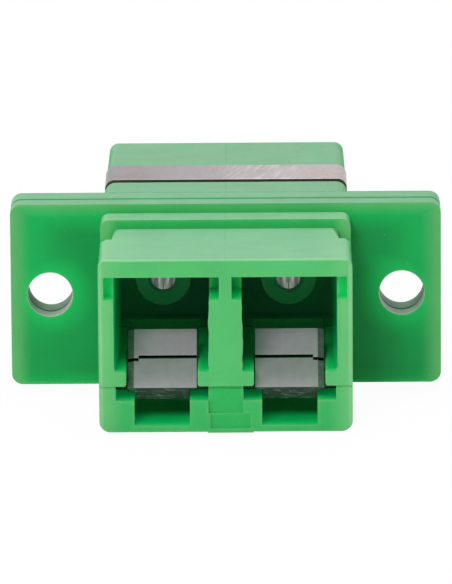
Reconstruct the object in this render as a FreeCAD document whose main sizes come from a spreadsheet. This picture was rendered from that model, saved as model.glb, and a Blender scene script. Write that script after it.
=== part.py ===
import FreeCAD, Part
import math
import os

import Sketcher

# Duplex LC fibre adapter with the flange of a simplex SC adapter, in millimetres.
#
# X runs across the two ports, Y runs from the front ports to the rear ports, and Z is up, with
# the latch slots below. The origin is midway between the two flange holes, on the flange's rear
# face, which is the face that seats on a panel.

SIZES = (
    # alias, value, what it is
    ("body_width", 12.4, "width of the two-port body"),
    ("body_top", 3.68, "height of the body's top face above the hole line"),
    ("body_bottom", 5.02, "depth of the body's bottom face below the hole line"),
    ("nose_front", 10.6, "distance of the front face ahead of the panel face"),
    ("collar_front", 4.05, "distance of the collar's front ahead of the panel face"),
    ("collar_top", 4.14, "height of the raised collar"),
    ("collar_corner", 0.44, "corner radius of the collar's top"),
    ("rear_end", 15.8, "distance of the rear face behind the panel face"),
    ("draft_angle", 0.5, "mould draft of the rear body in degrees"),
    ("top_corner", 0.45, "radius along the nose's top edges"),
    ("tail_corner", 0.62, "radius along the tail's top edges at the flange"),
    ("bottom_corner", 0.55, "radius along the body's bottom edges"),
    ("flange_width", 21.4, "width of the flange"),
    ("flange_height", 9.2, "height of the flange"),
    ("flange_corner", 0.55, "corner radius of the flange"),
    ("front_plate", 1.15, "thickness of the front flange plate"),
    ("rear_plate", 1.4, "thickness of the rear flange plate"),
    ("seam_chamfer", 0.14, "chamfer each side of the flange's seam"),
    ("hole_chamfer", 0.07, "chamfer each side of the seam in the flange holes"),
    ("hole_pitch", 17.5, "distance between the flange holes"),
    ("hole_radius", 1.125, "radius of the flange holes"),
    ("peg_radius", 0.5, "radius of the four locating pegs in the seam"),
    ("peg_length", 0.9, "length of the locating pegs"),
    ("peg_across", 14.4, "distance across the pegs"),
    ("peg_rise", 6.4, "distance up between the pegs"),
    ("port_pitch", 6.25, "distance between the two ports"),
    ("port_width", 4.68, "width of a port"),
    ("port_ceiling", 2.8, "height of a port's ceiling"),
    ("ledge_top", 1.96, "depth of the ledges' tops, on which a plug slides"),
    ("ledge_bottom", 2.68, "depth of the ledges' undersides"),
    ("ledge_ease", 0.12, "rounding of the ledges' edges"),
    ("port_corner", 0.15, "rounding between a port's sides and its ledges"),
    ("channel_width", 3.5, "gap between the two ledges"),
    ("lug_width", 4.54, "width of the slot for the latch lugs"),
    ("lug_floor", 3.44, "depth of the lug slot's floor"),
    ("arm_width", 2.72, "width of the slot for the latch arm"),
    ("arm_floor", 4.7, "depth of the arm slot's floor"),
    ("catch_start", 2.9, "thickness of the wall that the latch lugs catch behind"),
    ("relief_side", 0.48, "width of the reliefs beside a port's ceiling"),
    ("relief_floor", 1.66, "height of the floor of those reliefs"),
    ("outer_relief_depth", 1.0, "depth from the face of the reliefs in the side walls"),
    ("inner_relief_depth", 2.4, "depth from the face of the reliefs in the web"),
    ("tier_step", 0.15, "set-back of the lower part of the end faces"),
    ("web_recess", 0.3, "set-back between the two lug slots"),
    ("web_recess_floor", 4.1, "depth of the lower end of that set-back"),
    ("gate_left", 0.9, "left end of the gate pad under the nose"),
    ("gate_right", 1.35, "right end of the gate pad under the nose"),
    ("gate_proud", 0.05, "height of the gate pad below the body"),
    ("gate_rim", 0.15, "width of the rim round the gate pad's sunk face"),
    ("gate_sink", 0.23, "set-back of that sunk face from the front face"),
    ("corner_cut", 0.6, "width of the cuts in the nose's rear top corners"),
    ("corner_cut_length", 2.2, "length of those cuts"),
    ("channel_end", 0.05, "distance behind the panel face of the front latch channels' ends"),
    ("wall_front", 0.98, "front face of the wall between front and rear ports"),
    ("wall_rear", 3.67, "rear face of the wall between front and rear ports"),
    ("fibre_height", 0.42, "height of the fibre line above the hole line"),
    ("fibre_middle", 2.325, "place along Y where the two ferrules meet"),
    ("holder_radius", 1.375, "outer radius of a sleeve holder"),
    ("holder_reach", 3.325, "length of one sleeve holder"),
    ("holder_mouth", 0.64, "radius of the holder's mouth"),
    ("holder_lead", 0.12, "chamfer round the holder's mouth"),
    ("sleeve_radius", 0.81, "outer radius of an alignment sleeve"),
    ("sleeve_bore", 0.6245, "bore radius of an alignment sleeve"),
    ("sleeve_length", 6.2, "length of an alignment sleeve"),
    ("sleeve_slit", 0.16, "width of the slit along a sleeve"),
    ("groove_start", 6.4, "front side of the clip's groove"),
    ("groove_width", 3.95, "width of the clip's groove"),
    ("groove_depth", 0.3, "depth of the clip's groove in the top and sides"),
    ("groove_under", 0.14, "depth of the clip's groove in the underside"),
    ("clip_sheet", 0.26, "thickness of the clip's sheet"),
    ("clip_play", 0.14, "play of the clip behind it in its groove, and round its tabs"),
    ("clip_gap", 0.6, "open gap in front of the clip in its groove"),
    ("clip_hook", 2.6, "length of the clip's hooks under the body"),
    ("tab_height", 4.4, "height of the clip's sprung tabs"),
    ("tab_end", 2.05, "distance of the tabs' free ends from the panel face"),
    ("tab_flare", 0.95, "spread of the tabs' free ends"),
    ("hinge_back", 0.9, "distance of a shutter's hinge behind the front face"),
    ("hinge_depth", 2.925, "depth of a shutter's hinge below the hole line"),
    ("pin_radius", 0.12, "radius of a hinge pin"),
    ("pin_seat", 0.36, "length of a pin's end in the housing"),
    ("pin_play", 0.012, "radial play of a shutter on its pin"),
    ("barrel_radius", 0.25, "outer radius of a shutter's rolled barrel"),
    ("barrel_width", 2.64, "width of the barrel and of the lip under it"),
    ("flap_sheet", 0.15, "thickness of a shutter's sheet"),
    ("flap_half", 1.69, "half width of a shutter"),
    ("flap_edge", 1.39, "distance of the main blade's outer edge from the middle"),
    ("flap_drop", 0.06, "drop of the rail along a shutter's outer edge"),
    ("flap_toe", 0.32, "length of a shutter ahead of its hinge"),
    ("flap_slit_start", 1.73, "start of the slit across a shutter"),
    ("flap_slit_end", 1.95, "end of the slit across a shutter"),
    ("flap_jog", 0.18, "shift of the slit beside the rail"),
    ("flap_jog_width", 0.23, "length of the shifted part of the slit"),
    ("flap_tip", 3.81, "length of a shutter behind its hinge"),
    ("flap_lip", 0.5, "depth of the lip ahead of the barrel"),
    ("flap_tilt", 30.0, "angle of a shutter above the port's floor, in degrees"),
)


class Size:
    """A number that also carries the sheet formula that it comes from."""

    def __init__(self, value, formula):
        self.value = value
        self.formula = formula

    def _join(self, other, sign, value):
        text = other.formula if isinstance(other, Size) else repr(float(other))
        return Size(value, "(" + self.formula + " " + sign + " " + text + ")")

    def __add__(self, other):
        return self._join(other, "+", self.value + number(other))

    def __sub__(self, other):
        return self._join(other, "-", self.value - number(other))

    def __mul__(self, factor):
        return self._join(factor, "*", self.value * number(factor))

    def __truediv__(self, divisor):
        return self._join(divisor, "/", self.value / number(divisor))

    def __neg__(self):
        return self * -1


def number(size):
    return size.value if isinstance(size, Size) else float(size)


class Sizes:
    """The named sizes, read as sizes.body_width and so on."""


def make_sheet(doc):
    sheet = doc.addObject("Spreadsheet::Sheet", "Sizes")
    sizes = Sizes()
    for row, (alias, value, note) in enumerate(SIZES, start=1):
        sheet.set("A%d" % row, alias)
        sheet.set("B%d" % row, str(value))
        sheet.set("C%d" % row, note)
        sheet.setAlias("B%d" % row, alias)
        setattr(sizes, alias, Size(value, "Sizes." + alias))
    doc.recompute()
    return sizes


def bind(item, prop, size):
    """Ties a property to the sheet, or sets it where the size is a plain number."""
    if isinstance(size, Size):
        item.setExpression(prop, size.formula)
    else:
        item.setExpression(prop, repr(float(size)))


# --- sketches and features ---------------------------------------------------------------------

def new_body(doc, label):
    body = doc.addObject("PartDesign::Body", label)
    body.Label = label
    return body


def new_sketch(body, name, role, offset):
    """A sketch parallel to an origin plane of its own body, moved along the plane's normal."""
    plane = [item for item in body.Origin.OriginFeatures if item.Role == role][0]
    sketch = body.newObject("Sketcher::SketchObject", name)
    sketch.AttachmentSupport = [(plane, "")]
    sketch.MapMode = "FlatFace"
    bind(sketch, "AttachmentOffset.Base.z", offset)
    return sketch


def across(body, name, y):
    """A sketch that faces along Y, at the given Y: its own axes are X and Z."""
    return new_sketch(body, name, "XZ_Plane", -y)


def pin_point(sketch, geometry, end, u, v):
    """Holds one point of a sketch at u, v, with both tied to the sheet."""
    for kind, axis, size in (("DistanceX", -2, u), ("DistanceY", -1, v)):
        if abs(number(size)) < 1e-9:
            sketch.addConstraint(Sketcher.Constraint("PointOnObject", geometry, end, axis))
        else:
            rule = Sketcher.Constraint(kind, -1, 1, geometry, end, number(size))
            index = sketch.addConstraint(rule)
            bind(sketch, "Constraints[%d]" % index, size)


def beside(corner, other):
    """The point of a rounded corner on its side towards the other corner, or the corner itself."""
    u, v = corner[:2]
    if len(corner) == 2:
        return u, v
    across_u = number(other[0]) - number(u)
    across_v = number(other[1]) - number(v)
    if abs(across_u) > abs(across_v):
        return u + corner[2] * math.copysign(1, across_u), v
    return u, v + corner[2] * math.copysign(1, across_v)


def draw_polygon(sketch, corners):
    """A closed outline through corners given as (u, v), or as (u, v, radius) to round a square one."""
    count = len(corners)
    arrive = [beside(corner, corners[i - 1]) for i, corner in enumerate(corners)]
    leave = [beside(corner, corners[(i + 1) % count]) for i, corner in enumerate(corners)]
    lines = []
    for i in range(count):
        ends = (leave[i], arrive[(i + 1) % count])
        points = [FreeCAD.Vector(number(u), number(v), 0) for u, v in ends]
        lines.append(sketch.addGeometry(Part.LineSegment(*points)))
        pin_point(sketch, lines[i], 1, *leave[i])
    for i, corner in enumerate(corners):
        if len(corner) == 2:
            sketch.addConstraint(Sketcher.Constraint("Coincident", lines[i - 1], 2, lines[i], 1))
            continue
        pin_point(sketch, lines[i - 1], 2, *arrive[i])
        draw_corner(sketch, corner, arrive[i], leave[i], lines[i - 1], lines[i])


def draw_corner(sketch, corner, arrive, leave, line_in, line_out):
    """The quarter circle that rounds a square corner between two lines already drawn."""
    ends = [FreeCAD.Vector(number(u), number(v), 0) for u, v in (arrive, leave)]
    centre = ends[0] + ends[1] - FreeCAD.Vector(number(corner[0]), number(corner[1]), 0)
    angles = [math.atan2(end.y - centre.y, end.x - centre.x) for end in ends]
    forwards = math.sin(angles[1] - angles[0]) > 0
    first, last = angles if forwards else angles[::-1]
    circle = Part.Circle(centre, FreeCAD.Vector(0, 0, 1), number(corner[2]))
    arc = sketch.addGeometry(Part.ArcOfCircle(circle, first, last))
    at_arrive, at_leave = (1, 2) if forwards else (2, 1)
    sketch.addConstraint(Sketcher.Constraint("Coincident", arc, at_arrive, line_in, 2))
    sketch.addConstraint(Sketcher.Constraint("Coincident", arc, at_leave, line_out, 1))
    index = sketch.addConstraint(Sketcher.Constraint("Radius", arc, number(corner[2])))
    bind(sketch, "Constraints[%d]" % index, corner[2])


def draw_box(sketch, left, right, low, high):
    draw_polygon(sketch, ((left, low), (right, low), (right, high), (left, high)))


def draw_round_box(sketch, left, right, low, high, low_radius, high_radius):
    """A box whose lower and upper corners are rounded by two different radii."""
    draw_polygon(sketch, ((left, low, low_radius), (right, low, low_radius),
                          (right, high, high_radius), (left, high, high_radius)))


def draw_circle(sketch, u, v, radius):
    centre = FreeCAD.Vector(number(u), number(v), 0)
    circle = sketch.addGeometry(Part.Circle(centre, FreeCAD.Vector(0, 0, 1), number(radius)))
    pin_point(sketch, circle, 3, u, v)
    index = sketch.addConstraint(Sketcher.Constraint("Radius", circle, number(radius)))
    bind(sketch, "Constraints[%d]" % index, radius)


def settle(feature):
    """Recomputes the document and stops at a feature that failed."""
    feature.Document.recompute()
    if "Invalid" in feature.State or "Error" in feature.State or feature.Shape.isNull():
        raise RuntimeError("%s failed: %s" % (feature.Name, feature.getStatusString()))
    return feature


def pad(body, sketch, length, reverse=False, middle=False, taper=None):
    feature = body.newObject("PartDesign::Pad", sketch.Name + "_pad")
    feature.Profile = sketch
    feature.Reversed = reverse
    feature.Midplane = middle
    bind(feature, "Length", length)
    if taper is not None:
        bind(feature, "TaperAngle", taper)
    return settle(feature)


def pocket(body, sketch, length, reverse=False, middle=False):
    before = body.Shape.Volume
    feature = body.newObject("PartDesign::Pocket", sketch.Name + "_cut")
    feature.Profile = sketch
    feature.Reversed = reverse
    feature.Midplane = middle
    bind(feature, "Length", length)
    settle(feature)
    if body.Shape.Volume > before - 1e-6:
        raise RuntimeError(feature.Name + " removed nothing")
    return feature


def edges_at(shape, places):
    """Names of the edges that pass through the given places."""
    names = []
    for place in places:
        spot = Part.Vertex(FreeCAD.Vector(*[number(part) for part in place]))
        gaps = [edge.distToShape(spot)[0] for edge in shape.Edges]
        nearest = gaps.index(min(gaps))
        if gaps[nearest] > 0.05:
            raise RuntimeError("no edge near %s" % (place,))
        names.append("Edge%d" % (nearest + 1))
    return names


def round_edges(body, name, places, radius):
    base = body.Tip
    feature = body.newObject("PartDesign::Fillet", name)
    feature.Base = (base, edges_at(base.Shape, places))
    bind(feature, "Radius", radius)
    return settle(feature)


def chamfer_edges(body, name, places, size):
    base = body.Tip
    feature = body.newObject("PartDesign::Chamfer", name)
    feature.Base = (base, edges_at(base.Shape, places))
    bind(feature, "Size", size)
    return settle(feature)


# --- features that both housings share ---------------------------------------------------------

def port_outline(sizes, middle):
    """One port seen from its mouth: the plug's square, its ledges and the latch slots below."""
    port, channel = sizes.port_width / 2, sizes.channel_width / 2
    lug, arm = sizes.lug_width / 2, sizes.arm_width / 2
    half = (
        (port, sizes.port_ceiling),
        (port, -sizes.ledge_top, sizes.port_corner),
        (channel, -sizes.ledge_top, sizes.ledge_ease),
        (channel, -sizes.ledge_bottom, sizes.ledge_ease),
        (lug, -sizes.ledge_bottom), (lug, -sizes.lug_floor),
        (arm, -sizes.lug_floor), (arm, -sizes.arm_floor),
    )
    right = [(middle + corner[0],) + corner[1:] for corner in half]
    left = [(middle - corner[0],) + corner[1:] for corner in half]
    return right + left[::-1]


def port_middles(sizes):
    return (-sizes.port_pitch / 2, sizes.port_pitch / 2)


def cut_ports(body, sizes, name, y, depth, towards_front=False):
    sketch = across(body, name, y)
    for middle in port_middles(sizes):
        draw_polygon(sketch, port_outline(sizes, middle))
    pocket(body, sketch, depth, reverse=towards_front)


def cut_catches(body, sizes, name, y, depth, towards_front=False):
    """The wide space behind the arm slot's mouth, where the latch lugs spring out and catch."""
    sketch = across(body, name, y)
    for middle in port_middles(sizes):
        half = sizes.lug_width / 2
        draw_box(sketch, middle - half, middle + half, -sizes.arm_floor, -sizes.lug_floor)
    pocket(body, sketch, depth, reverse=towards_front)


def cut_face_details(body, sizes, end, face_y, towards_front):
    """The stepped lower part of an end face, and the reliefs beside the ports' ceilings."""
    tier = across(body, end + "_tier", face_y)
    far = sizes.body_width
    draw_box(tier, -far, far, -far, -sizes.ledge_bottom)
    pocket(body, tier, sizes.tier_step, reverse=towards_front)

    web = across(body, end + "_web", face_y)
    edge = sizes.port_pitch / 2 - sizes.lug_width / 2
    draw_box(web, -edge, edge, -sizes.web_recess_floor, -sizes.ledge_bottom)
    pocket(body, web, sizes.web_recess, reverse=towards_front)

    outer_wall = sizes.port_pitch / 2 + sizes.port_width / 2
    inner_wall = sizes.port_pitch / 2 - sizes.port_width / 2 - sizes.relief_side
    for name, start, depth in (("_outer_reliefs", outer_wall, sizes.outer_relief_depth),
                               ("_inner_reliefs", inner_wall, sizes.inner_relief_depth)):
        stop = start + sizes.relief_side
        relief = across(body, end + name, face_y)
        for left, right in ((start, stop), (-stop, -start)):
            draw_box(relief, left, right, sizes.relief_floor, sizes.port_ceiling)
        pocket(body, relief, depth, reverse=towards_front)


def cut_flange_holes(body, sizes, y, depth):
    sketch = across(body, "flange_holes", y)
    for x in (-sizes.hole_pitch / 2, sizes.hole_pitch / 2):
        draw_circle(sketch, x, 0, sizes.hole_radius)
    pocket(body, sketch, depth)


def peg_sketch(body, sizes, name, y):
    sketch = across(body, name, y)
    for x in (-sizes.peg_across / 2, sizes.peg_across / 2):
        for z in (-sizes.peg_rise / 2, sizes.peg_rise / 2):
            draw_circle(sketch, x, z, sizes.peg_radius)
    return sketch


def flange_plate(body, sizes, y, thickness):
    """A flange plate whose rear face is at y."""
    sketch = across(body, "flange", y)
    half_width = sizes.flange_width / 2
    half_height = sizes.flange_height / 2
    draw_round_box(sketch, -half_width, half_width, -half_height, half_height,
                   sizes.flange_corner, sizes.flange_corner)
    pad(body, sketch, thickness)


def chamfer_seam(body, sizes, seam):
    """The eased edges on which the two flange plates meet, round the outside and in the holes."""
    chamfer_edges(body, "seam_edges", [(0, seam, sizes.flange_height / 2)], sizes.seam_chamfer)
    rims = [(x, seam, sizes.hole_radius) for x in (-sizes.hole_pitch / 2, sizes.hole_pitch / 2)]
    chamfer_edges(body, "hole_edges", rims, sizes.hole_chamfer)


def body_block(body, sizes, name, y, length, top, top_corner, **options):
    """A length of the two-port body: the same sides and bottom, up to its own top."""
    sketch = across(body, name, y)
    half = sizes.body_width / 2
    draw_round_box(sketch, -half, half, -sizes.body_bottom, top, sizes.bottom_corner, top_corner)
    pad(body, sketch, length, **options)


# --- the two housings --------------------------------------------------------------------------

def make_front_housing(doc, sizes):
    """Moulded front half: nose with two ports, collar and the front flange plate."""
    body = new_body(doc, "front_housing")
    seam = -sizes.rear_plate
    flange_face = seam - sizes.front_plate
    nose_face = -sizes.nose_front
    collar_face = -sizes.collar_front
    half = sizes.body_width / 2

    flange_plate(body, sizes, seam, sizes.front_plate)
    body_block(body, sizes, "collar", seam, sizes.collar_front - sizes.rear_plate,
               sizes.collar_top, sizes.collar_corner)
    body_block(body, sizes, "nose", collar_face, sizes.nose_front - sizes.collar_front,
               sizes.body_top, sizes.top_corner)

    cuts = across(body, "corner_cuts", collar_face - sizes.corner_cut_length)
    for low, high in ((-half * 2, -half + sizes.corner_cut), (half - sizes.corner_cut, half * 2)):
        draw_box(cuts, low, high, sizes.body_top - sizes.corner_cut, sizes.body_top * 2)
    pocket(body, cuts, sizes.corner_cut_length)

    gate = across(body, "gate_pad", collar_face)
    draw_box(gate, -sizes.gate_left, sizes.gate_right,
             -sizes.body_bottom - sizes.gate_proud, -sizes.arm_floor)
    pad(body, gate, sizes.nose_front - sizes.collar_front - sizes.tier_step)

    cut_face_details(body, sizes, "front", nose_face, towards_front=False)
    sunk = across(body, "gate_face", nose_face)
    rim = sizes.gate_rim
    draw_box(sunk, -sizes.gate_left + rim, sizes.gate_right - rim,
             -sizes.body_bottom + rim, -sizes.web_recess_floor)
    pocket(body, sunk, sizes.gate_sink)

    cut_ports(body, sizes, "front_ports", nose_face, sizes.nose_front - sizes.rear_plate)
    cut_catches(body, sizes, "front_catches", nose_face + sizes.catch_start,
                sizes.nose_front - sizes.rear_plate - sizes.catch_start)
    cut_flange_holes(body, sizes, flange_face, sizes.front_plate)

    for side, middle in zip(("left", "right"), port_middles(sizes)):
        seat = new_sketch(body, side + "_pin_seats", "YZ_Plane", middle)
        draw_circle(seat, nose_face + sizes.hinge_back, -sizes.hinge_depth, sizes.pin_radius)
        pocket(body, seat, sizes.lug_width + sizes.pin_seat * 2, middle=True)

    pad(body, peg_sketch(body, sizes, "pegs", seam + sizes.peg_length), sizes.peg_length)
    chamfer_seam(body, sizes, seam)
    return body


def make_rear_housing(doc, sizes):
    """Moulded rear half: rear flange plate, drafted body with two ports, and the middle wall."""
    body = new_body(doc, "rear_housing")
    seam = -sizes.rear_plate
    panel_face = Size(0.0, "0")
    flange_plate(body, sizes, panel_face, sizes.rear_plate)
    body_block(body, sizes, "root", panel_face, sizes.rear_plate, sizes.body_top, sizes.tail_corner)
    body_block(body, sizes, "tail", panel_face, sizes.rear_end, sizes.body_top, sizes.tail_corner,
               reverse=True, taper=-sizes.draft_angle)

    cut_clip_groove(body, sizes)
    cut_face_details(body, sizes, "rear", sizes.rear_end, towards_front=True)
    cut_ports(body, sizes, "rear_ports", sizes.rear_end, sizes.rear_end - sizes.wall_rear,
              towards_front=True)
    cut_catches(body, sizes, "rear_catches", sizes.rear_end - sizes.catch_start,
                sizes.rear_end - sizes.catch_start - sizes.wall_rear, towards_front=True)
    cut_ports(body, sizes, "front_port_ends", seam, sizes.channel_end + sizes.rear_plate)
    cut_catches(body, sizes, "front_catch_ends", seam, sizes.channel_end + sizes.rear_plate)

    # behind the latch channels the port's floor is whole up to the wall
    plug_ends = across(body, "plug_ends", sizes.channel_end)
    half = sizes.port_width / 2
    for middle in port_middles(sizes):
        draw_box(plug_ends, middle - half, middle + half, -sizes.ledge_top, sizes.port_ceiling)
    pocket(body, plug_ends, sizes.wall_front - sizes.channel_end)

    bores = across(body, "holder_bores", sizes.wall_front)
    for middle in port_middles(sizes):
        draw_circle(bores, middle, sizes.fibre_height, sizes.holder_radius)
    pocket(body, bores, sizes.wall_rear - sizes.wall_front)

    cut_flange_holes(body, sizes, seam, sizes.rear_plate)
    pocket(body, peg_sketch(body, sizes, "peg_holes", seam), sizes.peg_length)
    chamfer_seam(body, sizes, seam)
    return body


def groove_box(sizes):
    """The groove's bottom, as left, right, low and high."""
    half = sizes.body_width / 2 - sizes.groove_depth
    return -half, half, -sizes.body_bottom + sizes.groove_under, sizes.body_top - sizes.groove_depth


def cut_clip_groove(body, sizes):
    """The groove round the tail for the spring clip, with room at the sides for its tabs."""
    groove = across(body, "clip_groove", sizes.groove_start)
    far = sizes.body_width
    left, right, low, high = groove_box(sizes)
    draw_box(groove, -far, far, -far, far)
    draw_box(groove, left, right, low, high)
    pocket(body, groove, sizes.groove_width)

    room = across(body, "tab_room", sizes.groove_start / 2)
    reach = sizes.tab_height / 2 + sizes.clip_play
    for inner, outer in ((-far, left), (right, far)):
        draw_box(room, inner, outer, -reach, reach)
    pocket(body, room, sizes.groove_start / 2)


# --- the small pieces --------------------------------------------------------------------------

def make_sleeve_holder(doc, sizes, label, side, end):
    """Moulded bush pressed into the middle wall, which keeps its half of the sleeve in line."""
    body = new_body(doc, label)
    tube = across(body, "tube", Size(0.0, "0"))
    draw_circle(tube, 0, 0, sizes.holder_radius)
    pad(body, tube, sizes.holder_reach)

    bore = across(body, "bore", -sizes.sleeve_length / 2)
    draw_circle(bore, 0, 0, sizes.sleeve_radius)
    pocket(body, bore, sizes.sleeve_length / 2)
    mouth = across(body, "mouth", -sizes.holder_reach)
    draw_circle(mouth, 0, 0, sizes.holder_mouth)
    pocket(body, mouth, sizes.holder_reach)
    chamfer_edges(body, "lead_in", [(sizes.holder_mouth, -sizes.holder_reach, 0)],
                  sizes.holder_lead)

    turn = 0 if end == "front" else 180
    bind(body, "Placement.Base.x", sizes.port_pitch / 2 * side)
    bind(body, "Placement.Base.y", sizes.fibre_middle)
    bind(body, "Placement.Base.z", sizes.fibre_height)
    body.Placement.Rotation = FreeCAD.Rotation(FreeCAD.Vector(0, 0, 1), turn)
    return body


def make_sleeve(doc, sizes, label, side):
    """Split alignment sleeve that grips the two ferrules end to end."""
    body = new_body(doc, label)
    ring = across(body, "ring", sizes.sleeve_length / 2)
    draw_circle(ring, 0, 0, sizes.sleeve_radius)
    draw_circle(ring, 0, 0, sizes.sleeve_bore)
    pad(body, ring, sizes.sleeve_length)
    slit = across(body, "slit", -sizes.sleeve_length / 2)
    half = sizes.sleeve_slit / 2
    draw_box(slit, -half, half, Size(0.0, "0"), sizes.sleeve_radius * 2)
    pocket(body, slit, sizes.sleeve_length)
    bind(body, "Placement.Base.x", sizes.port_pitch / 2 * side)
    bind(body, "Placement.Base.y", sizes.fibre_middle)
    bind(body, "Placement.Base.z", sizes.fibre_height)
    return body


def make_panel_clip(doc, sizes):
    """Bent spring-steel band in the tail's groove, with a sprung tab on each side."""
    body = new_body(doc, "panel_clip")
    left, right, low, high = groove_box(sizes)
    sheet = sizes.clip_sheet
    front = sizes.groove_start + sizes.clip_gap
    width = sizes.groove_width - sizes.clip_gap - sizes.clip_play

    band = across(body, "band", front + width)
    draw_polygon(band, (
        (left - sheet, low - sheet), (left + sizes.clip_hook, low - sheet),
        (left + sizes.clip_hook, low), (left, low), (left, high), (right, high), (right, low),
        (right - sizes.clip_hook, low), (right - sizes.clip_hook, low - sheet),
        (right + sheet, low - sheet), (right + sheet, high + sheet), (left - sheet, high + sheet),
    ))
    pad(body, band, width)
    middle = front + width / 2
    round_edges(body, "top_bends",
                [(x, middle, high + sheet) for x in (left - sheet, right + sheet)], sheet * 2)
    round_edges(body, "bottom_bends",
                [(x, middle, low - sheet) for x in (left - sheet, right + sheet)], sheet * 2)

    tabs = new_sketch(body, "tabs", "XY_Plane", -sizes.tab_height / 2)
    end = sizes.tab_end
    for side in (-1, 1):
        root = right * side
        tip = (right + sizes.tab_flare) * side
        out = sheet * side
        draw_polygon(tabs, (
            (root, front + sheet), (root, front), (tip, end + sheet), (tip, end),
            (tip + out, end), (tip + out, end + sheet), (root + out, front), (root + out, front + sheet),
        ))
    pad(body, tabs, sizes.tab_height)
    return body


def make_shutter(doc, sizes, label, side):
    """Stamped steel shutter: slit blade, rail along its outer edge, and a barrel round the pin.

    It is drawn about its hinge line, lying flat, and then set at its place and tilt.
    """
    body = new_body(doc, label)
    top = sizes.barrel_radius
    under = sizes.barrel_radius - sizes.flap_sheet

    barrel = new_sketch(body, "barrel", "YZ_Plane", Size(0.0, "0"))
    draw_circle(barrel, 0, 0, sizes.barrel_radius)
    pad(body, barrel, sizes.barrel_width, middle=True)

    edge = sizes.flap_edge * side
    rim = sizes.flap_half * side
    jog = (sizes.flap_edge - sizes.flap_jog_width) * side

    def add_blade(name, end, slit):
        """One flat length of the blade, from its own end to its side of the slit."""
        blade = new_sketch(body, name, "XY_Plane", under)
        shifted = slit - sizes.flap_jog
        draw_polygon(blade, ((edge, end), (-rim, end), (-rim, slit),
                             (jog, slit), (jog, shifted), (edge, shifted)))
        pad(body, blade, sizes.flap_sheet)

    # the rail joins the two lengths past the slit, and a shallow notch carries the slit across it
    add_blade("toe_blade", -sizes.flap_toe, sizes.flap_slit_start)
    rail = across(body, "rail", sizes.flap_tip)
    fall = sizes.flap_drop
    draw_polygon(rail, ((edge, top), (rim, top - fall), (rim, under - fall), (edge, under)))
    pad(body, rail, sizes.flap_tip + sizes.flap_toe)
    add_blade("tip_blade", sizes.flap_tip, sizes.flap_slit_end)
    notch = new_sketch(body, "rail_notch", "XY_Plane", top)
    draw_box(notch, edge, rim * 2, sizes.flap_slit_start - sizes.flap_jog,
             sizes.flap_slit_end - sizes.flap_jog)
    pocket(body, notch, sizes.flap_sheet * 0.6)

    lip = new_sketch(body, "lip", "YZ_Plane", Size(0.0, "0"))
    draw_box(lip, -sizes.flap_toe, -sizes.flap_toe + sizes.flap_sheet, -sizes.flap_lip, under)
    pad(body, lip, sizes.barrel_width, middle=True)

    bore = new_sketch(body, "pin_bore", "YZ_Plane", Size(0.0, "0"))
    draw_circle(bore, 0, 0, sizes.pin_radius + sizes.pin_play)
    pocket(body, bore, sizes.barrel_width * 2, middle=True)

    bind(body, "Placement.Base.x", sizes.port_pitch / 2 * side)
    bind(body, "Placement.Base.y", -sizes.nose_front + sizes.hinge_back)
    bind(body, "Placement.Base.z", -sizes.hinge_depth)
    body.Placement.Rotation = FreeCAD.Rotation(FreeCAD.Vector(1, 0, 0), sizes.flap_tilt.value)
    return body


def make_hinge_pin(doc, sizes, label, side):
    """Plain steel pin across the lug slot, pressed into both of its walls."""
    pin = doc.addObject("Part::Cylinder", label)
    pin.Label = label
    length = sizes.lug_width + sizes.pin_seat * 2
    bind(pin, "Radius", sizes.pin_radius)
    bind(pin, "Height", length)
    pin.Placement.Rotation = FreeCAD.Rotation(FreeCAD.Vector(0, 1, 0), 90)
    bind(pin, "Placement.Base.x", sizes.port_pitch / 2 * side - length / 2)
    bind(pin, "Placement.Base.y", -sizes.nose_front + sizes.hinge_back)
    bind(pin, "Placement.Base.z", -sizes.hinge_depth)
    return pin


# --- the whole adapter -------------------------------------------------------------------------

def build(doc):
    sizes = make_sheet(doc)
    pieces = [make_front_housing(doc, sizes), make_rear_housing(doc, sizes), make_panel_clip(doc, sizes)]
    for name, side in (("left", -1), ("right", 1)):
        for end in ("front", "rear"):
            pieces.append(make_sleeve_holder(doc, sizes, "%s_%s_sleeve_holder" % (name, end), side, end))
        pieces.append(make_sleeve(doc, sizes, name + "_alignment_sleeve", side))
        pieces.append(make_shutter(doc, sizes, name + "_shutter", side))
        pieces.append(make_hinge_pin(doc, sizes, name + "_shutter_pin", side))
    doc.recompute()
    return pieces


def check(doc, pieces):
    for item in doc.Objects:
        if "Invalid" in item.State or "Error" in item.State:
            raise RuntimeError("%s failed: %s" % (item.Name, item.State))
    for piece in pieces:
        shape = piece.Shape
        if shape.isNull() or not shape.isValid() or len(shape.Solids) != 1:
            raise RuntimeError("%s is not one valid solid" % piece.Label)
        print("%-28s %9.3f mm3" % (piece.Label, shape.Volume))


def write_parts(pieces):
    os.makedirs("parts", exist_ok=True)
    for piece in pieces:
        piece.Shape.exportStep("parts/%s.step" % piece.Label)


document = FreeCAD.newDocument("fibre_adapter")
made = build(document)
check(document, made)
write_parts(made)
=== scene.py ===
import bmesh
import bpy
import math
import random
from mathutils import Matrix, Vector
from types import SimpleNamespace


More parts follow.
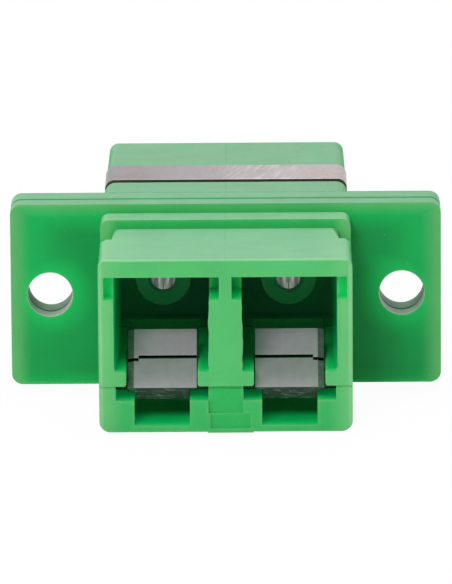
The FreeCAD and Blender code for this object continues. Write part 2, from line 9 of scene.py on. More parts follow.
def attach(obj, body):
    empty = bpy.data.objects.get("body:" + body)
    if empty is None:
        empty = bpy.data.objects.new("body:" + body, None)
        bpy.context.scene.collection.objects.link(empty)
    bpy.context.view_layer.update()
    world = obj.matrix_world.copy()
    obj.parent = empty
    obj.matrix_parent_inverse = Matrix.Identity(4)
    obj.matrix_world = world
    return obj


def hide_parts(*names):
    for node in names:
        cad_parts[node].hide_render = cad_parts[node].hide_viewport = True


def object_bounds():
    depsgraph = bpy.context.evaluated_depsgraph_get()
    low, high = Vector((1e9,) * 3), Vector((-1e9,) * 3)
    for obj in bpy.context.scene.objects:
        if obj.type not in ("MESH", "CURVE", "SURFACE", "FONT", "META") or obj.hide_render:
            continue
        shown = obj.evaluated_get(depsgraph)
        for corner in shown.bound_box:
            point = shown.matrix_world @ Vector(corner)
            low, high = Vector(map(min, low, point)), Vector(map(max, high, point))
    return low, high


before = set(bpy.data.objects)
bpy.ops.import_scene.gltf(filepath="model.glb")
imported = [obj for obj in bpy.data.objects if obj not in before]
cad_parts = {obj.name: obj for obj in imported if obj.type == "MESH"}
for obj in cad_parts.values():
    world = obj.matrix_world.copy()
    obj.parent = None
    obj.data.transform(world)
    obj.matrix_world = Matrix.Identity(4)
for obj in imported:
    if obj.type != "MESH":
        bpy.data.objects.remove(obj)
cad_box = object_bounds()
mm = 0.001


# --- Front and rear mouldings -------------------------------------------------------------------
# The two halves of the adapter's shell, injection moulded in green polyester with a satin face
# from the tool, and welded together at the seam in the flange. Their edges are slightly eased.
# Light and shade are painted into the plastic's colour: a painted glow at thin walls, at the
# flange's ends and round its holes, painted light on its end faces and level faces, painted
# shade along the flange's back edge and in the clip's groove, and a painted glow in the ports.

# inside the plastic, from thick to thin, and in the ports; the glows are painted light
deep_green = (0.004, 0.320, 0.072, 1)
painted_glow_green = (0.004, 0.480, 0.102, 1)
inner_green = (0.008, 0.310, 0.095, 1)
painted_mouth_glow_green = (0.004, 0.520, 0.128, 1)
painted_depth_glow_green = (0.060, 0.350, 0.250, 1)
# painted light on the end faces
painted_face_light_green = (0.085, 0.500, 0.150, 1)
painted_tier_light_green = (0.045, 0.465, 0.125, 1)
painted_recess_light_green = (0.030, 0.458, 0.112, 1)
painted_rim_light_green = (0.150, 0.530, 0.190, 1)
painted_edge_light_green = (0.130, 0.450, 0.160, 1)
painted_highlight_green = (0.270, 0.610, 0.300, 1)
# painted light on the level faces and in the flange's holes, less at the back of the holes, and
# the seam
painted_level_light_green = (0.195, 0.450, 0.255, 1)
painted_nose_top_light_green = (0.212, 0.505, 0.280, 1)
painted_nose_edge_light_green = (0.245, 0.560, 0.300, 1)
painted_front_bore_light_green = (0.420, 0.560, 0.450, 1)
painted_rear_bore_light_green = (0.180, 0.340, 0.210, 1)
seam_green = (0.000, 0.130, 0.030, 1)
seam_top_green = (0.000, 0.290, 0.066, 1)
dust_green = painted_front_bore_light_green

# lengths are from the panel face, widths from the middle, heights from the level of the holes
nose_front = cad_box[0].y
flange_side, rear_face, flange_top = cad_box[1]
nose_top = 3.68 * mm
nose_side = 6.20 * mm
brow_end = nose_front + 0.16 * mm
mouth_end = nose_front + 3.00 * mm
tier_top = -2.70 * mm
tier_face = nose_front + 0.20 * mm
gate_side = 1.45 * mm
port_side = 5.65 * mm
port_top = 2.85 * mm
relief_side = 6.05 * mm
relief_end = nose_front + 1.40 * mm
collar_face = -4.05 * mm
flange_face = -2.55 * mm
seam_along = -1.40 * mm
hole_across = 8.75 * mm
hole_radius = 1.125 * mm

# where each gradual change of colour, most of them painted light and shade, starts and ends;
# the wings are the flange's two ends
face_fade = (nose_front + 0.35 * mm, nose_front + 0.55 * mm)
rear_fade = (rear_face - 0.45 * mm, rear_face - 0.35 * mm)
wing_fade = (7.6 * mm, 9.6 * mm)
wing_foot_fade = (-3.0 * mm, -0.5 * mm)
upper_fade = (2.9 * mm, 4.3 * mm)
hole_glow_fade = (hole_radius, hole_radius + 1.3 * mm)
hole_edge_fade = (hole_radius, hole_radius + 0.4 * mm)
hole_wall_fade = (hole_radius, hole_radius + 0.03 * mm)
rim_fade = (5.0 * mm, 6.0 * mm)
collar_corner_fade = (5.3 * mm, 5.8 * mm)
wing_end_fade = (flange_side - 1.1 * mm, flange_side)
wing_top_fade = (flange_top - 0.7 * mm, flange_top)
nose_edge_fade = (4.2 * mm, 6.0 * mm)
port_wall_fade = (5.25 * mm, 5.40 * mm)
seam_fade = (0.10 * mm, 0.18 * mm)
groove_start, groove_end = (6.44 * mm, 6.48 * mm), (10.0 * mm, 10.1 * mm)

# grains of the surface, and the strength of the painted glow that stands for light in the ports
dust_size = 0.16 * mm
cloud_size = 2.0 * mm
patch_size = 1.1 * mm
skin_size = 0.07 * mm
skin_depth = 0.004 * mm
mouth_glow = 0.32
wall_glow = 0.08

# edges, the cuts in the nose's rear corners, and the web between the ports
shell_edge = 0.07 * mm
sharp_angle = math.radians(35)
hair = 0.01 * mm
cut_side = 5.6 * mm
cut_longest = 3.0 * mm
cut_round = 0.32 * mm
web_front = nose_front + 0.1 * mm
web_side = 0.9 * mm
web_shortest, web_longest = 2.0 * mm, 4.5 * mm
flash_steps = 16
flash_width = 0.08 * mm


def new_finish(name):
    """A material with one glossy surface shader, and its node tree."""
    finish = bpy.data.materials.new(name)
    finish.use_nodes = True
    return finish, finish.node_tree, finish.node_tree.nodes["Principled BSDF"]


def axes(tree, vector):
    """The parts of a vector across, along and up the adapter."""
    parts = tree.nodes.new("ShaderNodeSeparateXYZ")
    tree.links.new(vector, parts.inputs["Vector"])
    return parts.outputs["X"], parts.outputs["Y"], parts.outputs["Z"]


def object_grain(tree, size, detail=3.0, stretch=(1, 1, 1)):
    """Noise fixed to the piece, with grains about the given size, in metres."""
    place = tree.nodes.new("ShaderNodeTexCoord")
    scale = tree.nodes.new("ShaderNodeMapping")
    scale.inputs["Scale"].default_value = stretch
    grain = tree.nodes.new("ShaderNodeTexNoise")
    grain.inputs["Scale"].default_value = 1 / size
    grain.inputs["Detail"].default_value = detail
    tree.links.new(place.outputs["Object"], scale.inputs["Vector"])
    tree.links.new(scale.outputs["Vector"], grain.inputs["Vector"])
    return grain.outputs["Fac"]


def between(tree, value, low, high, low_at=0.3, high_at=0.7, blend="LINEAR"):
    """Low until a value reaches low_at, high from high_at on, and a ramp between the two."""
    ramp = tree.nodes.new("ShaderNodeMapRange")
    ramp.interpolation_type = blend
    ramp.inputs["From Min"].default_value = low_at
    ramp.inputs["From Max"].default_value = high_at
    ramp.inputs["To Min"].default_value = low
    ramp.inputs["To Max"].default_value = high
    tree.links.new(value, ramp.inputs["Value"])
    return ramp.outputs["Result"]


def past(tree, value, edge, fade, share=1.0):
    """A share where a value is past an edge, which fades in over a width about that edge."""
    return between(tree, value, 0.0, share, edge - fade / 2, edge + fade / 2)


def short_of(tree, value, edge, fade):
    """Full where a value is short of an edge, fading out over a width about that edge."""
    return between(tree, value, 1.0, 0.0, edge - fade / 2, edge + fade / 2)


def combine(tree, operation, *values):
    """A plain sum, product or the like of numbers and of other nodes' outputs."""
    node = tree.nodes.new("ShaderNodeMath")
    node.operation = operation
    for socket, value in zip(node.inputs, values):
        if isinstance(value, float):
            socket.default_value = value
        else:
            tree.links.new(value, socket)
    return node.outputs[0]


def all_of(tree, first, *others):
    """The product of shares, so full only where every one of them is."""
    for other in others:
        first = combine(tree, "MULTIPLY", first, other)
    return first


def any_of(tree, first, *others):
    """The largest of shares, so full where any one of them is."""
    for other in others:
        first = combine(tree, "MAXIMUM", first, other)
    return first


def distance(tree, value, place):
    """How far a value is from a place, on either side of it."""
    return combine(tree, "ABSOLUTE", combine(tree, "SUBTRACT", value, place))


def mixed(tree, share, first, second):
    """A colour between two others, each given as a plain colour or as another node's output."""
    mix = tree.nodes.new("ShaderNodeMix")
    mix.data_type = "RGBA"
    tree.links.new(share, mix.inputs[0])
    for socket, colour in ((mix.inputs[6], first), (mix.inputs[7], second)):
        if isinstance(colour, tuple):
            socket.default_value = colour
        else:
            tree.links.new(colour, socket)
    return mix.outputs[2]


def brightened(tree, colour, factor):
    """A colour made brighter or darker by the given factor."""
    cast = tree.nodes.new("ShaderNodeHueSaturation")
    tree.links.new(factor, cast.inputs["Value"])
    tree.links.new(colour, cast.inputs["Color"])
    return cast.outputs["Color"]


def thinness(tree, reach, full):
    """0 where the plastic is thick, rising to 1 at edges, corners and walls thinner than reach."""
    inside = tree.nodes.new("ShaderNodeAmbientOcclusion")
    inside.inside = True
    inside.only_local = True
    inside.samples = 12
    inside.inputs["Distance"].default_value = reach
    return between(tree, inside.outputs["AO"], 1.0, 0.0, 1.0 - full, 1.0)


def add_relief(tree, surface, height, depth, strength):
    """Fine bumps in a surface, from 0 to the given depth."""
    bump = tree.nodes.new("ShaderNodeBump")
    bump.inputs["Strength"].default_value = strength
    bump.inputs["Distance"].default_value = depth
    tree.links.new(height, bump.inputs["Height"])
    tree.links.new(bump.outputs["Normal"], surface.inputs["Normal"])


def places(tree):
    """Where a point of the shell is, which way it faces, and which regions it is in."""
    coordinates = tree.nodes.new("ShaderNodeTexCoord")
    at = SimpleNamespace()
    across, at.along, at.up = axes(tree, coordinates.outputs["Object"])
    facing = axes(tree, coordinates.outputs["Normal"])
    at.aside = combine(tree, "ABSOLUTE", across)
    at.turned_along = combine(tree, "ABSOLUTE", facing[1])
    off_hole = combine(tree, "SUBTRACT", at.aside, hole_across)
    at.from_hole = combine(tree, "SQRT", combine(tree, "ADD", all_of(tree, off_hole, off_hole),
                                                 all_of(tree, at.up, at.up)))
    at.in_front = between(tree, at.along, 1.0, 0.0, *face_fade)
    in_relief = all_of(tree, short_of(tree, at.aside, relief_side, 0.1 * mm),
                       short_of(tree, at.along, relief_end, 0.2 * mm))
    at.in_port = all_of(tree, any_of(tree, in_relief,
                                     short_of(tree, at.aside, port_side, 0.1 * mm)),
                        short_of(tree, at.up, port_top, 0.1 * mm))
    level = between(tree, facing[2], 0.0, 1.0, 0.25, 0.85)
    at.on_top = all_of(tree, level, past(tree, at.up, 3.4 * mm, 0.2 * mm))
    return at


def body_colour(tree, at, inner):
    """Deep green, with a painted glow at thin walls, at the flange's ends and top, and round its
    holes.
    """
    in_wing = all_of(tree, between(tree, at.aside, 0.0, 0.7, *wing_fade, "SMOOTHSTEP"),
                     between(tree, at.up, 0.2, 1.0, *wing_foot_fade, "SMOOTHSTEP"))
    glow = any_of(tree, thinness(tree, 0.8 * mm, 0.5), in_wing,
                  between(tree, at.up, 0.0, 0.9, *upper_fade, "SMOOTHSTEP"),
                  between(tree, at.from_hole, 1.0, 0.0, *hole_glow_fade, "SMOOTHSTEP"))
    return mixed(tree, glow, mixed(tree, at.in_port, deep_green, inner), painted_glow_green)


def end_face_colour(tree, at):
    """Painted light on the front and rear faces, less on the lower tier and in the set-back
    recess, more towards the sides and palest of all along them.
    """
    colour = mixed(tree, short_of(tree, at.up, tier_top - 0.05 * mm, 0.1 * mm), painted_face_light_green,
                   painted_tier_light_green)
    set_back = all_of(tree, past(tree, at.along, tier_face, 0.02 * mm),
                      short_of(tree, at.aside, gate_side, 0.1 * mm), at.in_front)
    colour = mixed(tree, set_back, colour, painted_recess_light_green)
    colour = mixed(tree, between(tree, at.aside, 0.0, 0.9, *rim_fade), colour, painted_rim_light_green)
    return mixed(tree, past(tree, at.aside, nose_side - 0.17 * mm, 0.10 * mm, 0.8), colour,
                 painted_highlight_green)


def add_painted_edge_light(tree, at, colour):
    """Painted light at the collar's corners, the flange's edges and thin edges, over a colour."""
    at_collar = all_of(
        tree, between(tree, at.along, 0.0, 1.0, collar_face - 0.05 * mm, collar_face - 0.02 * mm),
        between(tree, at.along, 1.0, 0.0, collar_face + 0.02 * mm, collar_face + 0.08 * mm),
        between(tree, at.aside, 0.18, 0.9, *collar_corner_fade))
    colour = mixed(tree, at_collar, colour, painted_rim_light_green)
    at_end = any_of(tree, between(tree, at.aside, 0.0, 0.9, *wing_end_fade, "SMOOTHSTEP"),
                    between(tree, at.up, 0.0, 0.7, *wing_top_fade, "SMOOTHSTEP"))
    off_nose = past(tree, at.along, flange_face - 0.06 * mm, 0.08 * mm)
    colour = mixed(tree, all_of(tree, at_end, off_nose), colour, painted_edge_light_green)
    thin = all_of(tree, thinness(tree, 0.2 * mm, 0.8),
                  between(tree, at.from_hole, 0.0, 1.0, *hole_edge_fade))
    return mixed(tree, thin, colour, painted_edge_light_green)


def add_painted_top_light(tree, at, colour):
    """Painted light on the level faces, more towards the nose's ends, with a painted highlight
    along the nose's front edge, over a colour.
    """
    near_edge = between(tree, at.aside, 0.0, 1.0, *nose_edge_fade)
    level = mixed(tree, past(tree, at.along, flange_face - 0.025 * mm, 0.05 * mm),
                  mixed(tree, near_edge, painted_nose_top_light_green, painted_nose_edge_light_green), painted_level_light_green)
    colour = mixed(tree, at.on_top, colour, level)
    brow_highlight = all_of(tree, short_of(tree, at.along, brow_end, 0.08 * mm),
                  past(tree, at.up, nose_top - 0.07 * mm, 0.04 * mm, 0.9))
    return mixed(tree, brow_highlight, colour, painted_highlight_green)


def add_mould_line_and_back_shade(tree, at, colour):
    """The tool's broken line along the middle of the top, and painted shade along the flange's
    back edge.
    """
    at_line = between(tree, at.aside, 0.30, 0.0, 0.01 * mm, 0.04 * mm)
    shade_at_back = all_of(tree, between(tree, at.along, 0.0, 0.8, -0.16 * mm, -0.04 * mm),
                     past(tree, at.up, flange_top - 0.3 * mm, 0.2 * mm))
    broken = between(tree, object_grain(tree, 0.5 * mm), 0.2, 1.0, 0.4, 0.55)
    marks = all_of(tree, any_of(tree, at_line, shade_at_back), broken, at.on_top)
    return mixed(tree, marks, colour, deep_green)


def add_hole_light_and_seam_shade(tree, at, colour):
    """Painted light on the walls of the flange's holes, less at their back, and shade in the seam
    and the clip's groove.
    """
    in_hole = between(tree, at.from_hole, 1.0, 0.0, *hole_wall_fade)
    at_rear = between(tree, at.along, 0.0, 1.0, seam_along, seam_along + 0.02 * mm)
    colour = mixed(tree, in_hole, colour, mixed(tree, at_rear, painted_front_bore_light_green, painted_rear_bore_light_green))
    seam = mixed(tree, past(tree, at.up, flange_top - 0.3 * mm, 0.2 * mm), seam_green,
                 seam_top_green)
    at_seam = between(tree, distance(tree, at.along, seam_along), 0.9, 0.0, *seam_fade)
    colour = mixed(tree, at_seam, colour, seam)
    in_groove = all_of(tree, between(tree, at.along, 0.0, 1.0, *groove_start),
                       between(tree, at.along, 1.0, 0.0, *groove_end))
    return mixed(tree, in_groove, colour, seam_green)


def mouth_light(tree, at, surface, depth_light):
    """A painted glow, set as emission, that stands for light from the front face filling the
    mouths of the ports and fading further in.
    """
    start = face_fade[0]
    behind = any_of(tree, between(tree, at.along, 0.0, 1.0, start, start + 0.05 * mm),
                    between(tree, at.turned_along, 1.0, 0.0, 0.3, 0.6))
    in_mouth = between(tree, at.along, mouth_glow, depth_light, start, mouth_end)
    on_wall = all_of(tree, between(tree, at.along, mouth_glow, wall_glow, start, 0.0),
                     between(tree, at.aside, 0.0, 1.0, *port_wall_fade))
    shine = all_of(tree, any_of(tree, in_mouth, on_wall), behind, at.in_port)
    in_depth = between(tree, shine, 1.0, 0.0, depth_light, depth_light + 0.03)
    tree.links.new(mixed(tree, in_depth, painted_mouth_glow_green, painted_depth_glow_green),
                   surface.inputs["Emission Color"])
    tree.links.new(shine, surface.inputs["Emission Strength"])


def moulded_green(name, roughness, inner=inner_green, depth_light=0.01):
    """Dyed polyester with light and shade painted into its colour, and a satin skin from the tool.
    """
    finish, tree, surface = new_finish(name)
    at = places(tree)
    at_ends = any_of(tree, at.in_front, between(tree, at.along, 0.0, 1.0, *rear_fade))
    colour = mixed(tree, at_ends, body_colour(tree, at, inner), end_face_colour(tree, at))
    for tints in (add_painted_edge_light, add_painted_top_light, add_mould_line_and_back_shade, add_hole_light_and_seam_shade):
        colour = tints(tree, at, colour)
    dust = between(tree, object_grain(tree, dust_size, detail=1.0), 0.0, 0.25, 0.76, 0.80)
    colour = mixed(tree, dust, colour, dust_green)
    clouds = between(tree, object_grain(tree, cloud_size), 0.96, 1.04)
    tree.links.new(brightened(tree, colour, clouds), surface.inputs["Base Color"])
    mouth_light(tree, at, surface, depth_light)
    patches = object_grain(tree, patch_size)
    tree.links.new(between(tree, patches, roughness - 0.04, roughness + 0.04),
                   surface.inputs["Roughness"])
    tree.links.new(between(tree, at.on_top, 0.2, 0.08, 0.0, 1.0),
                   surface.inputs["Specular IOR Level"])
    surface.inputs["Subsurface Weight"].default_value = 0.3
    surface.inputs["Subsurface Radius"].default_value = (0.1, 1.0, 0.3)
    surface.inputs["Subsurface Scale"].default_value = 0.4 * mm
    add_relief(tree, surface, object_grain(tree, skin_size, detail=2.0), skin_depth, 0.5)
    return finish


def eased_copy(node, name, body, finishes, width, choose=None, change=None):
    """The CAD node's shape with its sharp edges eased, standing for the node on its body.

    Where there are several finishes, choose gives a face's one from its middle and its normal.
    A small change to the shape itself is made before its edges are eased.
    """
    shape = bmesh.new()
    shape.from_mesh(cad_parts[node].data)
    bmesh.ops.remove_doubles(shape, verts=shape.verts, dist=0.0005 * mm)
    bmesh.ops.dissolve_limit(shape, angle_limit=math.radians(0.3), verts=shape.verts,
                             edges=shape.edges)
    if change:
        change(shape)
    shape.verts.index_update()
    mesh = bpy.data.meshes.new(name)
    mesh.from_pydata([v.co for v in shape.verts], [],
                     [[v.index for v in face.verts] for face in shape.faces])
    shape.free()
    mesh.shade_smooth()
    piece = bpy.data.objects.new(name, mesh)
    bpy.context.scene.collection.objects.link(piece)
    ease = piece.modifiers.new("eased edges", "BEVEL")
    ease.width = width
    ease.segments = 2
    ease.limit_method = "ANGLE"
    ease.angle_limit = sharp_angle
    ease.harden_normals = True
    ease.use_clamp_overlap = True
    for finish in finishes:
        mesh.materials.append(finish)
    if choose:
        for face in mesh.polygons:
            face.material_index = choose(face.center, face.normal)
    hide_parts(node)
    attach(piece, body)
    return piece


def round_cuts(shape):
    """Round the upper edges of the cuts in the nose's rear corners."""
    uppers = [edge for edge in shape.edges
              if all(abs(v.co.z - nose_top) < hair and abs(abs(v.co.x) - cut_side) < hair
                     and v.co.y < collar_face + hair for v in edge.verts)
              and edge.calc_length() < cut_longest]
    bmesh.ops.bevel(shape, geom=uppers, offset=cut_round, segments=5, profile=0.5,
                    affect="EDGES")


def web_flash(shape):
    """Uneven flash along both upright edges of the web, where the tool let plastic creep out."""
    creep = random.Random(4)
    uprights = [edge for edge in shape.edges
                if all(v.co.y < web_front and abs(v.co.x) < web_side for v in edge.verts)
                and abs(edge.verts[0].co.x - edge.verts[1].co.x) < hair
                and web_shortest < edge.calc_length() < web_longest]
    ends = {v for edge in uprights for v in edge.verts}
    cut = bmesh.ops.subdivide_edges(shape, edges=uprights, cuts=flash_steps)
    for v in cut["geom_inner"]:
        if isinstance(v, bmesh.types.BMVert) and v not in ends:
            v.co.x += math.copysign(creep.uniform(0.0, flash_width), v.co.x)


def nose_details(shape):
    """The small forms of the nose that its solid leaves out."""
    round_cuts(shape)
    web_flash(shape)


green = moulded_green("moulded_green", 0.42)
eased_copy("front_housing", "front_moulding", "housing", [green], shell_edge,
           change=nose_details)
eased_copy("rear_housing", "rear_moulding", "housing", [green], shell_edge)


# --- Sleeve holders -----------------------------------------------------------------------------
# Short bushes of the same green plastic, pressed into the wall between the ports from both sides.
# Their mouths lead the ferrules in, so they are smoother than the shell.

bush_green = (0.200, 0.50, 0.42, 1)
bush_edge = 0.03 * mm

# Like the shell, the bushes have light and shade painted into their colour, with more painted glow
# deep in the ports.
holder_green = moulded_green("holder_green", 0.35, inner=bush_green, depth_light=0.035)
for side in ("left", "right"):
    for end in ("front", "rear"):
        eased_copy(side + "_" + end + "_sleeve_holder", side + "_" + end + "_bush", "housing",
                   [holder_green], bush_edge)


# --- Alignment sleeves --------------------------------------------------------------------------
# Split tubes that grip the two ferrules end to end inside the holders, ground and polished.
# Bright and dark bands of painted reflection run along their bores.

sleeve_steel = (0.30, 0.35, 0.31, 1)
bright_reflection_band = (0.56, 0.57, 0.54, 1)
dark_reflection_band = (0.03, 0.05, 0.03, 1)
port_across = 3.125 * mm
band_fade = 0.08 * mm
sleeve_edge = 0.02 * mm


def bright_metal(name, colour, roughness, grain_size, stretch=(1, 1, 1), metallic=1.0,
                 relief=0.002, spread=0.08, tarnish=0.85, tint=None):
    """Bare metal with a fine directional grain and uneven polish.

    A tint takes the metal's own colour and gives the one to use.
    """
    finish, tree, surface = new_finish(name)
    surface.inputs["Metallic"].default_value = metallic
    polish = tree.nodes.new("ShaderNodeValToRGB")
    dulled, polished = polish.color_ramp.elements
    dulled.position, polished.position = 0.35, 0.65
    dulled.color = tuple(tarnish * part for part in colour[:3]) + (1,)
    polished.color = colour
    tree.links.new(object_grain(tree, grain_size * 6, stretch=stretch), polish.inputs["Fac"])
    base = polish.outputs["Color"]
    tree.links.new(tint(tree, base) if tint else base, surface.inputs["Base Color"])
    grain = object_grain(tree, grain_size, stretch=stretch)
    tree.links.new(between(tree, grain, roughness - spread, roughness + spread),
                   surface.inputs["Roughness"])
    add_relief(tree, surface, grain, relief * mm, 0.6)
    return finish


def painted_bore_reflections(tree, colour):
    """Painted reflections: bright and dark bands along a polished bore, as the room would show in
    it.
    """
    coordinates = tree.nodes.new("ShaderNodeTexCoord")
    across = axes(tree, coordinates.outputs["Object"])[0]
    off_axis = distance(tree, combine(tree, "ABSOLUTE", across), port_across)
    for band, start, end in ((bright_reflection_band, 0.12 * mm, 0.27 * mm),
                             (dark_reflection_band, 0.30 * mm, 0.46 * mm)):
        share = all_of(tree, past(tree, off_axis, start, band_fade),
                       short_of(tree, off_axis, end, band_fade))
        colour = mixed(tree, share, colour, band)
    return colour


sleeve_metal = bright_metal("polished_sleeve", sleeve_steel, 0.14, 0.1 * mm, (1, 0.2, 1),
                            spread=0.04, relief=0.0005, tint=painted_bore_reflections)
for side in ("left", "right"):
    eased_copy(side + "_alignment_sleeve", side + "_split_sleeve", "housing",
               [sleeve_metal], sleeve_edge)


# --- Panel clip ---------------------------------------------------------------------------------
# A band of rolled spring steel bent round the tail in its groove. The tabs cut from its sides
# spring out behind the panel. Slanting bright wipes cross its blued and uneven polish, with
# painted shade darker towards the left and painted light towards the right. Its sheared front
# edge, down in the groove, is painted dark as shade.

clip_steel = (0.64, 0.560, 0.550, 1)
clip_blued = (0.60, 0.575, 0.60, 1)
clip_wiped = (0.76, 0.71, 0.70, 1)
clip_front_shade = (0.12, 0.14, 0.09, 1)
clip_edge = 0.035 * mm
wipe_slant = math.radians(74)
wipe_size = 0.40 * mm


def clip_wipes_and_shade(tree, colour):
    """Slanting bright wipes over broad blued patches, with painted shade darker towards the left
    and painted light towards the right.
    """
    coordinates = tree.nodes.new("ShaderNodeTexCoord")
    slant = tree.nodes.new("ShaderNodeMapping")
    slant.vector_type = "TEXTURE"
    slant.inputs["Rotation"].default_value = (0, 0, wipe_slant)
    slant.inputs["Scale"].default_value = (4.0, 0.6, 1)
    streaks = tree.nodes.new("ShaderNodeTexNoise")
    streaks.inputs["Scale"].default_value = 1 / wipe_size
    streaks.inputs["Detail"].default_value = 2.0
    tree.links.new(coordinates.outputs["Object"], slant.inputs["Vector"])
    tree.links.new(slant.outputs["Vector"], streaks.inputs["Vector"])
    across = axes(tree, coordinates.outputs["Object"])[0]
    wipes = all_of(tree, between(tree, streaks.outputs["Fac"], 0.1, 0.9, 0.45, 0.62),
                   between(tree, across, 0.0, 1.0, -1.5 * mm, 1.0 * mm, "SMOOTHSTEP"),
                   between(tree, across, 1.0, 0.0, 2.6 * mm, 4.6 * mm, "SMOOTHSTEP"))
    patches = object_grain(tree, 3.5 * mm, detail=1.0)
    blued = mixed(tree, between(tree, patches, 0.0, 0.9, 0.40, 0.62), colour, clip_blued)
    return brightened(tree, mixed(tree, wipes, blued, clip_wiped),
                      between(tree, across, 0.82, 1.20, -4.6 * mm, 4.6 * mm))


def clip_finish(middle, normal):
    """The sheared front edge, painted dark as shade, has the second finish, and all else the
    first.
    """
    return 1 if normal.y < -0.7 else 0


clip_metal = bright_metal("rolled_spring_steel", clip_steel, 0.42, 0.05 * mm, (1.6, 0.5, 1),
                          relief=0.004, tarnish=0.88, tint=clip_wipes_and_shade)
edge_shade_metal = bright_metal("spring_steel_edge_shade", clip_front_shade, 0.5, 0.06 * mm)
eased_copy("panel_clip", "clip_band", "housing", [clip_metal, edge_shade_metal],
           clip_edge, clip_finish)


# --- Shutters and their pins --------------------------------------------------------------------
# Stamped flaps of thin steel in the mouths of the front ports, rolled round plain wire pins. The
# blades are satin, their tips painted paler as painted light. The rail along the outer edge and
# the lip and rolled hinge at the front are painted dark as shade, with fine scratches, and the
# faces of the slit are painted black as shade.

toe_steel = (0.52, 0.455, 0.51, 1)
# the tip's paler steel is painted light, making up for the shade of the port's walls
painted_lit_tip_steel = (0.66, 0.52, 0.64, 1)
rail_shade, rail_scratch = (0.120, 0.142, 0.125, 1), (0.22, 0.25, 0.23, 1)
lip_shade, lip_scratch = (0.014, 0.034, 0.023, 1), (0.15, 0.19, 0.17, 1)
slit_shade_black = (0.01, 0.01, 0.01, 1)
pin_black = (0.04, 0.045, 0.04, 1)
hinge_along = -9.7 * mm
hinge_up = -2.925 * mm
flap_lean = math.radians(30)
rail_start = 1.39 * mm
blade_front = -0.30 * mm
slit_front, slit_back = 1.5 * mm, 2.0 * mm
notch_floor = 0.175 * mm
flap_edge = 0.02 * mm
toe, tip, rail, lip, slit_shade_face = range(5)


def shaded_scratched_metal(name, colour, scratch, roughness, size, stretch, thin):
    """Metal painted dark as shade, with fine bright scratches, each as wide as the given share of
    the grain.
    """
    finish, tree, surface = new_finish(name)
    surface.inputs["Metallic"].default_value = 0.3
    lines = object_grain(tree, size, detail=1.0, stretch=stretch)
    marks = between(tree, distance(tree, lines, 0.5), 1.0, 0.0, 0.0, thin)
    some = between(tree, object_grain(tree, size * 2), 0.0, 1.0, 0.42, 0.55)
    tree.links.new(mixed(tree, all_of(tree, marks, some), colour, scratch),
                   surface.inputs["Base Color"])
    surface.inputs["Roughness"].default_value = roughness
    add_relief(tree, surface, lines, 0.004 * mm, 0.6)
    return finish


def flap_finish(side):
    """A shutter's own choice of finish for a face, told from the face's place about its hinge."""
    hinge = Vector((side * port_across, hinge_along, hinge_up))
    lie_flat = Matrix.Rotation(-flap_lean, 3, "X")

    def choose(middle, normal):
        place, facing = lie_flat @ (middle - hinge), lie_flat @ normal
        # the slit's faces get steel painted black as shade
        in_slit = slit_front < place.y < slit_back
        if in_slit and (abs(facing.y) > 0.7 or facing.z > 0.7 and place.z < notch_floor):
            return slit_shade_face
        if place.y < blade_front or facing.y < -0.3 or place.z < 0:
            return lip
        if abs(place.x) > rail_start and abs(facing.x) < 0.7:
            return rail
        return tip if place.y > slit_back else toe

    return choose


satin = {"roughness": 0.5, "grain_size": 0.06 * mm, "stretch": (1, 0.3, 1), "metallic": 0.35,
         "relief": 0.003, "tarnish": 0.93}
toe_metal = bright_metal("satin_sheet_steel", toe_steel, **satin)
tip_metal = bright_metal("satin_sheet_tip", painted_lit_tip_steel, **satin)
rail_metal = shaded_scratched_metal("shaded_rail", rail_shade, rail_scratch, 0.45, 0.10 * mm, (2, 0.15, 1),
                          0.08)
lip_metal = shaded_scratched_metal("shaded_lip", lip_shade, lip_scratch, 0.4, 0.22 * mm, (0.22, 1.6, 2.2),
                         0.045)
slit_shade_metal = bright_metal("slit_shade_steel", slit_shade_black, 0.6, 0.06 * mm)
pin_metal = bright_metal("blackened_wire", pin_black, 0.45, 0.05 * mm, (0.2, 1, 1))
flap_metals = [toe_metal, tip_metal, rail_metal, lip_metal, slit_shade_metal]
for name, side in (("left", -1), ("right", 1)):
    eased_copy(name + "_shutter", name + "_flap_sheet", name + "_flap",
               flap_metals, flap_edge, flap_finish(side))
    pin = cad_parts[name + "_shutter_pin"].data
    pin.materials.clear()
    pin.materials.append(pin_metal)


# --- Table top and light ------------------------------------------------------------------------
# A plain white table that shows as white to the eye and in gloss. A broad soft light stands
# behind it, one hangs overhead, a smaller one is at the front left, and two weak ones fill in
# from the sides.

floor_level = cad_box[0].z - 0.01 * mm
floor_reach = 2.0
white_share = 0.96

floor_mesh = bpy.data.meshes.new("table_top")
floor_mesh.from_pydata([(-floor_reach, -floor_reach, floor_level),
                        (floor_reach, -floor_reach, floor_level),
                        (floor_reach, floor_reach, floor_level),
                        (-floor_reach, floor_reach, floor_level)], [], [(0, 1, 2, 3)])
floor = bpy.data.objects.new("table_top", floor_mesh)
bpy.context.scene.collection.objects.link(floor)

table_white, tree, surface = new_finish("white_table")
surface.inputs["Base Color"].default_value = (0.92, 0.92, 0.92, 1)
surface.inputs["Roughness"].default_value = 0.9
surface.inputs["Specular IOR Level"].default_value = 0.0
glow = tree.nodes.new("ShaderNodeEmission")
glow.inputs["Strength"].default_value = 1.0
path = tree.nodes.new("ShaderNodeLightPath")
seen = any_of(tree, path.outputs["Is Camera Ray"], path.outputs["Is Glossy Ray"])
cover = tree.nodes.new("ShaderNodeMixShader")
tree.links.new(combine(tree, "MULTIPLY", seen, white_share), cover.inputs["Fac"])
tree.links.new(surface.outputs["BSDF"], cover.inputs[1])
tree.links.new(glow.outputs["Emission"], cover.inputs[2])
tree.links.new(cover.outputs["Shader"], tree.nodes["Material Output"].inputs["Surface"])
floor_mesh.materials.append(table_white)

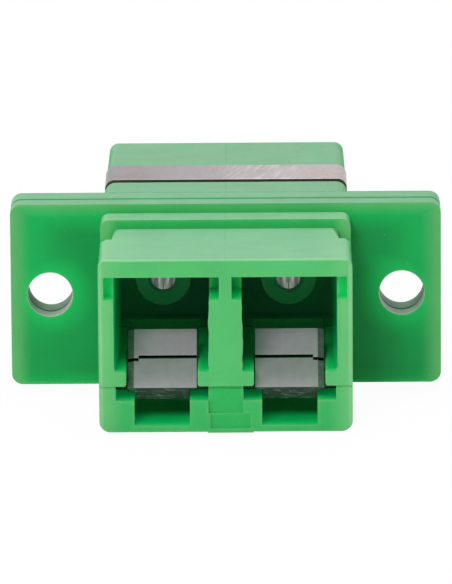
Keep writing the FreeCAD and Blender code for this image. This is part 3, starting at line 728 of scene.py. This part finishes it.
room = bpy.data.worlds.new("white_room")
bpy.context.scene.world = room
room.use_nodes = True
backing = room.node_tree.nodes["Background"]
backing.inputs["Color"].default_value = (1, 1, 1, 1)
backing.inputs["Strength"].default_value = 0.20


def soft_lamp(name, place, aim, size, power):
    """A square soft light of the given size, in metres, that faces a point."""
    lamp = bpy.data.lights.new(name, "AREA")
    lamp.shape = "SQUARE"
    lamp.size = size
    lamp.energy = power
    holder = bpy.data.objects.new(name, lamp)
    holder.location = place
    holder.rotation_euler = (Vector(aim) - Vector(place)).to_track_quat("-Z", "Y").to_euler()
    bpy.context.scene.collection.objects.link(holder)


middle = (cad_box[0] + cad_box[1]) / 2
soft_lamp("backdrop", (0.0, 0.34, 0.20), middle, 0.60, 0.50)
soft_lamp("overhead", (0.0, 0.05, 0.50), middle, 0.40, 1.50)
soft_lamp("key", (-0.12, -0.35, 0.26), middle, 0.16, 0.88)
soft_lamp("left_fill", (-0.38, -0.18, 0.11), middle, 0.25, 0.40)
soft_lamp("right_fill", (0.38, -0.18, 0.11), middle, 0.25, 0.15)


# --- Camera -------------------------------------------------------------------------------------
# A long lens a little above the adapter, looking into its front ports. It stands a touch to the
# right and is tipped by less than half a degree.

looks_at = Vector((0.04, -10.6, 2.06)) * mm
camera_distance = 380 * mm
camera_side = math.radians(0.25)
camera_height = math.radians(13.84)
camera_roll = math.radians(0.42)

lens = bpy.data.cameras.new("camera")
lens.lens = 481
lens.sensor_width = 36
lens.clip_start = 0.01
lens.clip_end = 20
camera = bpy.data.objects.new("camera", lens)
bpy.context.scene.collection.objects.link(camera)
level = Vector((math.cos(camera_side), math.sin(camera_side), 0))
forward = Vector((-math.sin(camera_side) * math.cos(camera_height),
                  math.cos(camera_side) * math.cos(camera_height), -math.sin(camera_height)))
upward = level.cross(forward)
across = level * math.cos(camera_roll) - upward * math.sin(camera_roll)
upright = level * math.sin(camera_roll) + upward * math.cos(camera_roll)
turn = Matrix((across, upright, -forward)).transposed().to_4x4()
camera.matrix_world = Matrix.Translation(looks_at - forward * camera_distance) @ turn
bpy.context.scene.camera = camera
bpy.context.scene.view_settings.view_transform = "Standard"
